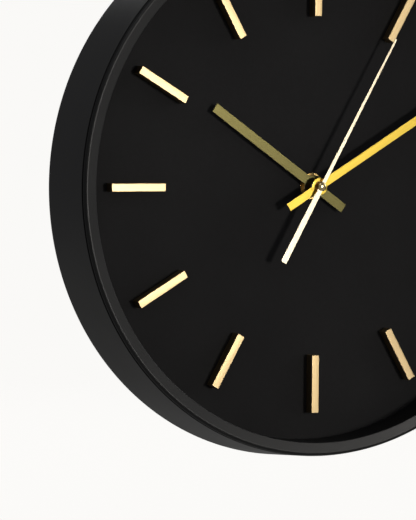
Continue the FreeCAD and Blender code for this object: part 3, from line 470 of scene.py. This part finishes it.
def build_movement():
    """The housing as it is seen in the panel's window, with the knob."""
    low, high = span("movement_case")
    floor = high - 1.2
    half, inner = 28.0, 26.6
    web_top, web_bottom = -10.4, -11.4
    walls = plate("housing_walls", "movement_black",
                  square_points(-half, half, -half, half, 1.0),
                  [square_points(-inner, inner, web_top, inner, 0.4),
                   square_points(-inner, inner, -inner, web_bottom, 0.4)], low, floor, 0.12)
    plate("housing_floor", "movement_black", square_points(-half, half, -half, half, 1.0),
          [circle_points(0, 0, 4.02)], floor, high, 0.12)
    post, post_back = 1.6, 10.3
    for i, place in enumerate(((-23.5, 24), (23.5, 24), (-23.5, -7.8), (23.5, -7.8))):
        plate(f"housing_post_{i}", "movement_black", circle_points(*place, post, 32), [],
              post_back, floor, 0.1)
    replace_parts(walls, "movement_case")

    low, high = span("movement_cover")
    knob = middle("set_knob")
    lid_half, lid_bottom, lid_front, knob_way = 26.5, -10.3, low + 1.2, 4.8
    lid = plate("cover_lid", "movement_black",
                square_points(-lid_half, lid_half, lid_bottom, lid_half, 0.5),
                [circle_points(*knob, knob_way)], low, lid_front, 0.12)
    cup, spindle, cup_floor = 5.8, 0.84, 3.1
    lathe("cover_cup", "movement_black", [
        (knob_way, lid_front, 0), (cup, lid_front, 0), (cup, high, 0.2), (spindle, high, 0),
        (spindle, cup_floor, 0), (knob_way, cup_floor, 0)], knob, 96)
    boss, boss_front = 1.3, 3.6
    for name in ("fifth_wheel", "third_wheel", "rotor_pinion", "second_arbor"):
        bore = 0.54 if name == "second_arbor" else 0.44
        lathe(f"cover_boss_{name}", "movement_black", [
            (bore, lid_front, 0), (boss, lid_front, 0), (boss, boss_front, 0.1),
            (bore, boss_front, 0)], middle(name), 32)
    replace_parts(lid, "movement_cover")

    low, high = span("set_knob")
    cap_front, grip_radius, flutes, count = low + 0.6, 4.2, 24, 288
    grip = []
    for i in range(count):
        angle = 2 * math.pi * i / count
        dip = max(0.0, math.cos(flutes * angle)) ** 2
        radius = grip_radius - 0.3 * dip
        grip.append(Vector((knob[0] + radius * math.cos(angle),
                            knob[1] + radius * math.sin(angle))))
    top = plate("knob_grip", "movement_frame", grip, [circle_points(*knob, 0.82, 32)],
                cap_front, high, 0.12, "setting")
    lathe("knob_cap", "movement_frame", [
        (0, low, 0), (3.6, low, 0.35), (3.6, cap_front, 0), (0, cap_front, 0)], knob, 96,
        "setting")
    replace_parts(top, "set_knob")


def build_cell():
    """The AA cell: a sleeved can with rolled rims, a raised button and a dished base."""
    low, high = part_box("aa_cell")
    left, right = low.x / MM, high.x / MM
    across, up, radius = (low.y + high.y) / -2 / MM, (low.z + high.z) / 2 / MM, 7.1
    button, shoulder = 2.75, right - 1.0
    points = corners_rounded([
        (0, left + 0.25, 0), (5.4, left + 0.25, 0.2), (5.8, left, 0.15), (radius, left, 0.6),
        (radius, shoulder - 0.15, 0.7), (5.6, shoulder - 0.15, 0.3), (5.2, shoulder - 0.45, 0.1),
        (button, shoulder - 0.45, 0.1), (button, right, 0.5), (0, right, 0)], 6)
    vertices = []
    count = 128
    for i in range(count):
        angle = 2 * math.pi * i / count
        for distance, x in points:
            vertices.append((x, up + distance * math.sin(angle),
                             across + distance * math.cos(angle)))
    cell = add_mesh("cell_can", vertices, ring_faces(count, len(points), False), "cell_sleeve",
                    "cell")
    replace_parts(cell, "aa_cell")


# --------------------------------------------------------------------------- material helpers
class Finish:
    """A material under construction, with short names for its node calls."""

    def __init__(self, name):
        self.material = bpy.data.materials.new(name)
        self.material.use_nodes = True
        self.tree = self.material.node_tree
        self.shader = self.tree.nodes["Principled BSDF"]

    def node(self, kind, **inputs):
        """A node with its inputs set. An underscore stands for a space in an input's name."""
        made = self.tree.nodes.new(f"ShaderNode{kind}")
        for key, value in inputs.items():
            self.feed(made.inputs[key.replace("_", " ")], value)
        return made

    def feed(self, socket, value):
        """Link a socket to another one, or set its value."""
        if isinstance(value, bpy.types.NodeSocket):
            self.tree.links.new(value, socket)
        else:
            socket.default_value = value

    def set(self, **inputs):
        """Set or link inputs of the surface shader."""
        for key, value in inputs.items():
            self.feed(self.shader.inputs[key.replace("_", " ")], value)

    def place(self, scale=(1, 1, 1), source="Object"):
        """Coordinates on the piece, stretched by a scale."""
        if source == "grain":
            found = self.tree.nodes.new("ShaderNodeAttribute")
            found.attribute_name = "grain"
            where = found.outputs["Vector"]
        else:
            where = self.node("TexCoord").outputs[source]
        return self.node("Mapping", Vector=where, Scale=scale).outputs["Vector"]

    def noise(self, where, scale, detail=4.0, roughness=0.6):
        """Noise from 0 to 1 at a scale in cycles per metre."""
        made = self.node("TexNoise", Vector=where, Scale=scale, Detail=detail,
                         Roughness=roughness)
        return made.outputs["Fac"]

    def ramp(self, factor, *stops, blend="LINEAR"):
        """A colour or grey that follows a factor through (place, value) stops."""
        made = self.node("ValToRGB", Fac=factor)
        made.color_ramp.interpolation = blend
        elements = made.color_ramp.elements
        while len(elements) < len(stops):
            elements.new(0.5)
        for element, (place, value) in zip(elements, stops):
            element.position = place
            if isinstance(value, (int, float)):
                value = (value, value, value)
            element.color = (*value, 1.0)
        return made.outputs["Color"]

    def spread(self, factor, low, high, start=0.3, end=0.7):
        """A number that runs from low to high as a factor runs from start to end."""
        made = self.node("MapRange", Value=factor, From_Min=start, From_Max=end, To_Min=low,
                         To_Max=high)
        return made.outputs["Result"]

    def bump(self, height, distance, strength):
        """A normal raised by a height from 0 to 1 over a distance in metres."""
        made = self.node("Bump", Height=height, Strength=strength, Distance=distance)
        return made.outputs["Normal"]

    def mix(self, factor, first, second):
        """The first colour where the factor is 0, and the second where it is 1."""
        made = self.tree.nodes.new("ShaderNodeMix")
        made.data_type = "RGBA"
        self.feed(made.inputs[0], factor)
        for socket, value in ((made.inputs[6], first), (made.inputs[7], second)):
            self.feed(socket, value if isinstance(value, bpy.types.NodeSocket) else (*value, 1.0))
        return made.outputs[2]


def moulded(name, base, worn, roughness, grain=900.0, depth=0.00002, gloss=0.5):
    """Moulded or painted plastic: a fine skin and a faint cloudy tone."""
    f = Finish(name)
    where = f.place()
    skin = f.noise(where, grain, 3.0)
    cloud = f.noise(where, 14.0, 5.0)
    tone = f.mix(f.spread(cloud, 0.0, 0.45), base, worn)
    f.set(Base_Color=tone, Roughness=f.spread(cloud, roughness * 0.9, roughness * 1.12),
          Normal=f.bump(skin, depth, 0.5), Specular_IOR_Level=gloss)
    return f.material


def brushed(name, dark, light, roughness):
    """Brushed metal: long fine streaks along the piece in tone, roughness and height."""
    f = Finish(name)
    lines = f.noise(f.place((18.0, 2600.0, 900.0), "grain"), 1.0, 3.0, 0.65)
    broad = f.noise(f.place((9.0, 320.0, 320.0), "grain"), 1.0, 2.0)
    tone = f.mix(f.spread(lines, 0.0, 1.0, 0.25, 0.75), dark, light)
    tone = f.mix(f.spread(broad, 0.0, 0.25), tone, light)
    f.set(Base_Color=tone, Metallic=1.0,
          Roughness=f.spread(lines, roughness * 0.8, roughness * 1.2),
          Normal=f.bump(lines, 0.000012, 0.6))
    return f.material


def fine_metal(name, dark, light, roughness):
    """Plated or machined metal: a very fine grain and a little tarnish."""
    f = Finish(name)
    skin = f.noise(f.place((5200.0, 5200.0, 5200.0)), 0.35, 2.0)
    tarnish = f.noise(f.place(), 260.0, 5.0)
    tone = f.mix(f.spread(tarnish, 0.0, 1.0), dark, light)
    f.set(Base_Color=tone, Metallic=1.0,
          Roughness=f.spread(tarnish, roughness * 0.75, roughness * 1.3),
          Normal=f.bump(skin, 0.000006, 0.4))
    return f.material


def winding_material():
    """Enamelled copper wire wound along X."""
    f = Finish("copper_wire")
    wave = f.node("TexWave", Vector=f.place(), Scale=2400.0, Distortion=0.4)
    wave.bands_direction = "X"
    turns = wave.outputs["Fac"]
    # The colour runs dark in the grooves between turns and bright on their crests: painted shade
    # and painted highlight across each turn.
    tone = f.ramp(turns, (0.0, (0.18, 0.05, 0.02)), (0.6, (0.62, 0.25, 0.1)),
                  (1.0, (0.8, 0.4, 0.2)))
    f.set(Base_Color=tone, Metallic=0.9, Roughness=0.32, Normal=f.bump(turns, 0.00005, 0.8))
    return f.material


def board_material():
    """Green solder mask over a plain pattern of tracks."""
    f = Finish("board_green")
    cells = f.node("TexVoronoi", Vector=f.place(), Scale=420.0)
    cells.distance = "MANHATTAN"
    tracks = f.spread(cells.outputs["Distance"], 0.0, 1.0, 0.35, 0.4)
    tone = f.mix(tracks, (0.02, 0.13, 0.05), (0.04, 0.22, 0.09))
    f.set(Base_Color=tone, Roughness=0.35, Normal=f.bump(tracks, 0.00003, 0.5))
    return f.material


def cell_material():
    """A plain AA cell: dark sleeve, a coppery band at the button and bare steel ends."""
    low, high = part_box("aa_cell")
    f = Finish("cell_sleeve")
    across = f.node("SeparateXYZ", Vector=f.place()).outputs["X"]
    place = f.spread(across, 0.0, 1.0, low.x, high.x)
    scuff = f.noise(f.place((60, 900, 900)), 1.0, 4.0)
    steel, sleeve, copper = (0.62, 0.61, 0.58), (0.02, 0.021, 0.023), (0.62, 0.3, 0.12)
    bands = f.ramp(place, (0.0, steel), (0.012, sleeve), (0.7, copper), (0.965, steel),
                   blend="CONSTANT")
    tone = f.mix(f.spread(scuff, 0.0, 0.15), bands, (0.5, 0.5, 0.5))
    metal = f.ramp(place, (0.0, 1.0), (0.012, 0.3), (0.95, 0.5), (0.97, 1.0))
    f.set(Base_Color=tone, Metallic=metal, Roughness=f.spread(scuff, 0.22, 0.36),
          Normal=f.bump(scuff, 0.00001, 0.4))
    return f.material


def dial_material():
    """Matt black paint on the dial: a very fine even tooth under a faint mottled tone."""
    f = Finish("dial_black")
    where = f.place()
    tooth = f.noise(where, 2600.0, 2.0)
    mottle = f.noise(where, 420.0, 4.0)
    cloud = f.noise(where, 9.0, 3.0)
    tone = f.mix(f.spread(mottle, 0.0, 1.0), (0.0036, 0.0034, 0.0038), (0.0060, 0.0056, 0.0062))
    tone = f.mix(f.spread(cloud, 0.0, 0.5), tone, (0.0050, 0.0047, 0.0052))
    f.set(Base_Color=tone, Roughness=f.spread(cloud, 0.62, 0.7),
          Normal=f.bump(tooth, 0.00003, 0.5), Specular_IOR_Level=0.16)
    return f.material


# ------------------------------------------------------------------------------------ finishes
BLACK, BLACK_WORN = (0.0036, 0.0036, 0.0039), (0.0060, 0.0060, 0.0063)
materials = {
    "case_black": moulded("case_black", BLACK, BLACK_WORN, 0.36, 1500.0, 0.000008, 0.5),
    "ring_black": moulded("ring_black", BLACK, BLACK_WORN, 0.4, 1700.0, 0.000006, 0.34),
    "dial_black": dial_material(),
    "marker_gold": brushed("marker_gold", (0.42, 0.295, 0.135), (0.60, 0.46, 0.26), 0.36),
    # hour_gold is a darker copy of the brushed gold in hand_gold: painted shade for the hour hand,
    # which catches little of the key light.
    "hour_gold": brushed("hour_gold", (0.075, 0.067, 0.024), (0.115, 0.10, 0.038), 0.35),
    "hand_gold": brushed("hand_gold", (0.42, 0.29, 0.038), (0.62, 0.44, 0.07), 0.35),
    # second_gold is a paler, creamier copy of the brushed gold in hand_gold: a painted highlight
    # that stands in for the needle's bright reflection.
    "second_gold": brushed("second_gold", (0.58, 0.49, 0.34), (0.76, 0.67, 0.50), 0.35),
    "cap_gold": fine_metal("cap_gold", (0.80, 0.62, 0.30), (0.92, 0.76, 0.42), 0.17),
    "panel_black": moulded("panel_black", (0.012, 0.012, 0.012), (0.03, 0.03, 0.03), 0.6, 700.0,
                           0.00006),
    "screw_steel": fine_metal("screw_steel", (0.42, 0.41, 0.38), (0.66, 0.65, 0.6), 0.28),
    "hanger_steel": fine_metal("hanger_steel", (0.5, 0.5, 0.48), (0.68, 0.68, 0.66), 0.3),
    "movement_black": moulded("movement_black", (0.012, 0.012, 0.013), (0.035, 0.035, 0.035),
                              0.42, 1100.0, 0.00003),
    "movement_frame": moulded("movement_frame", (0.62, 0.61, 0.56), (0.75, 0.74, 0.7), 0.4,
                              900.0, 0.00002),
    "gear_plastic": moulded("gear_plastic", (0.7, 0.66, 0.54), (0.82, 0.79, 0.7), 0.28, 800.0,
                            0.00001),
    "gear_brass": fine_metal("gear_brass", (0.62, 0.40, 0.12), (0.85, 0.62, 0.26), 0.24),
    "arbor_steel": fine_metal("arbor_steel", (0.6, 0.6, 0.6), (0.75, 0.75, 0.75), 0.14),
    "magnet": fine_metal("magnet", (0.1, 0.1, 0.105), (0.2, 0.2, 0.2), 0.5),
    "stator_steel": fine_metal("stator_steel", (0.35, 0.35, 0.36), (0.5, 0.5, 0.5), 0.35),
    "copper_wire": winding_material(),
    "board_green": board_material(),
    "chip_epoxy": moulded("chip_epoxy", (0.01, 0.01, 0.01), (0.02, 0.02, 0.02), 0.2, 300.0),
    "gasket_rubber": moulded("gasket_rubber", (0.015, 0.015, 0.015), (0.03, 0.03, 0.03), 0.75),
    "contact_nickel": fine_metal("contact_nickel", (0.6, 0.57, 0.5), (0.75, 0.73, 0.68), 0.22),
    "cell_sleeve": cell_material(),
}


def dress_cad_nodes():
    """Give each CAD node its slot's finish, for those that no piece replaces."""
    slots = {part["node"]: part["material_slot"] for part in frame["record"]["subparts"]}
    for name, obj in frame["nodes"].items():
        for item in obj.material_slots:
            item.material = materials[slots[name]]


# -------------------------------------------------------------------------------------- stage
BACKGROUND = (0.956, 0.947, 0.930)
FLOOR_HEIGHT, FLOOR_RADIUS = -0.34, 3.0


def build_floor():
    """A pale floor under the clock that fades out into the pale background."""
    mesh = bpy.data.meshes.new("floor")
    work = bmesh.new()
    bmesh.ops.create_circle(work, cap_ends=True, segments=96, radius=FLOOR_RADIUS,
                            matrix=Matrix.Translation((0, 0, FLOOR_HEIGHT)))
    work.to_mesh(mesh)
    work.free()
    floor = bpy.data.objects.new("floor", mesh)
    bpy.context.scene.collection.objects.link(floor)
    f = Finish("floor_pale")
    length = f.node("VectorMath", Vector=f.place())
    length.operation = "LENGTH"
    fade = f.spread(length.outputs["Value"], 1.0, 0.0, 0.9, 2.4)
    grain = f.noise(f.place(), 900.0)
    seen = f.node("LightPath").outputs["Is Camera Ray"]
    f.set(Base_Color=f.mix(grain, (0.035, 0.035, 0.034), (0.045, 0.045, 0.044)), Roughness=0.8,
          Alpha=fade, Emission_Color=(*BACKGROUND, 1.0),
          Emission_Strength=f.spread(seen, 0.2, 0.975, 0.0, 1.0), Specular_IOR_Level=0.0)
    mesh.materials.append(f.material)


def build_world():
    """A pale background that lights the clock only dimly, as a large dark studio does."""
    world = bpy.data.worlds.new("studio")
    bpy.context.scene.world = world
    world.use_nodes = True
    tree = world.node_tree
    tree.nodes.clear()
    seen = tree.nodes.new("ShaderNodeBackground")
    seen.inputs["Color"].default_value = (*BACKGROUND, 1.0)
    dim = tree.nodes.new("ShaderNodeBackground")
    dim.inputs["Color"].default_value = (0.95, 0.95, 0.97, 1.0)
    dim.inputs["Strength"].default_value = 0.17
    path = tree.nodes.new("ShaderNodeLightPath")
    choose = tree.nodes.new("ShaderNodeMixShader")
    out = tree.nodes.new("ShaderNodeOutputWorld")
    tree.links.new(path.outputs["Is Camera Ray"], choose.inputs["Fac"])
    tree.links.new(dim.outputs["Background"], choose.inputs[1])
    tree.links.new(seen.outputs["Background"], choose.inputs[2])
    tree.links.new(choose.outputs["Shader"], out.inputs["Surface"])


def add_light(name, place, size, power, colour=(1, 1, 1)):
    """A round soft light that faces the middle of the clock."""
    light = bpy.data.lights.new(name, "AREA")
    light.shape = "DISK"
    light.size = size
    light.energy = power
    light.color = colour
    obj = bpy.data.objects.new(name, light)
    obj.location = place
    obj.rotation_euler = (-Vector(place)).to_track_quat("-Z", "Y").to_euler()
    bpy.context.scene.collection.objects.link(obj)


def build_lights():
    """A soft key in front on the right, level with the clock, and weak light all round it."""
    distance, side = 3.0, math.radians(17)
    add_light("key", (distance * math.sin(side), -distance * math.cos(side), 0.0), 0.55, 30,
              (1.0, 0.97, 0.92))
    add_light("fill", (-1.2, -1.6, 2.2), 1.6, 9)
    add_light("behind", (0.9, 2.4, 0.9), 1.5, 45)
    add_light("side", (2.6, -0.6, 0.8), 1.5, 16)
    add_light("warm", (-1.1, 0.3, -1.2), 1.4, 4, (1.0, 0.93, 0.85))


def build_camera():
    """Left of the clock and a little above its middle, looking right and slightly down."""
    camera = bpy.data.cameras.new("camera")
    camera.lens, camera.sensor_width = 188.7, 36.0
    camera.clip_end = 50.0
    obj = bpy.data.objects.new("camera", camera)
    place = (-0.7480, -1.3148, 0.0371)
    azimuth, tilt, roll = math.radians(27.82), math.radians(-2.99), math.radians(0.39)
    look = Vector((math.sin(azimuth) * math.cos(tilt), math.cos(azimuth) * math.cos(tilt),
                   math.sin(tilt)))
    turn = look.to_track_quat("-Z", "Y").to_matrix() @ Matrix.Rotation(roll, 3, "Z")
    obj.matrix_world = Matrix.Translation(place) @ turn.to_4x4()
    bpy.context.scene.collection.objects.link(obj)
    bpy.context.scene.camera = obj


bpy.context.scene.view_settings.view_transform = "Standard"
dress_cad_nodes()
build_case()
build_markers()
build_hands()
build_centre()
build_screws()
build_back()
build_movement()
build_cell()
build_floor()
build_world()
build_lights()
build_camera()
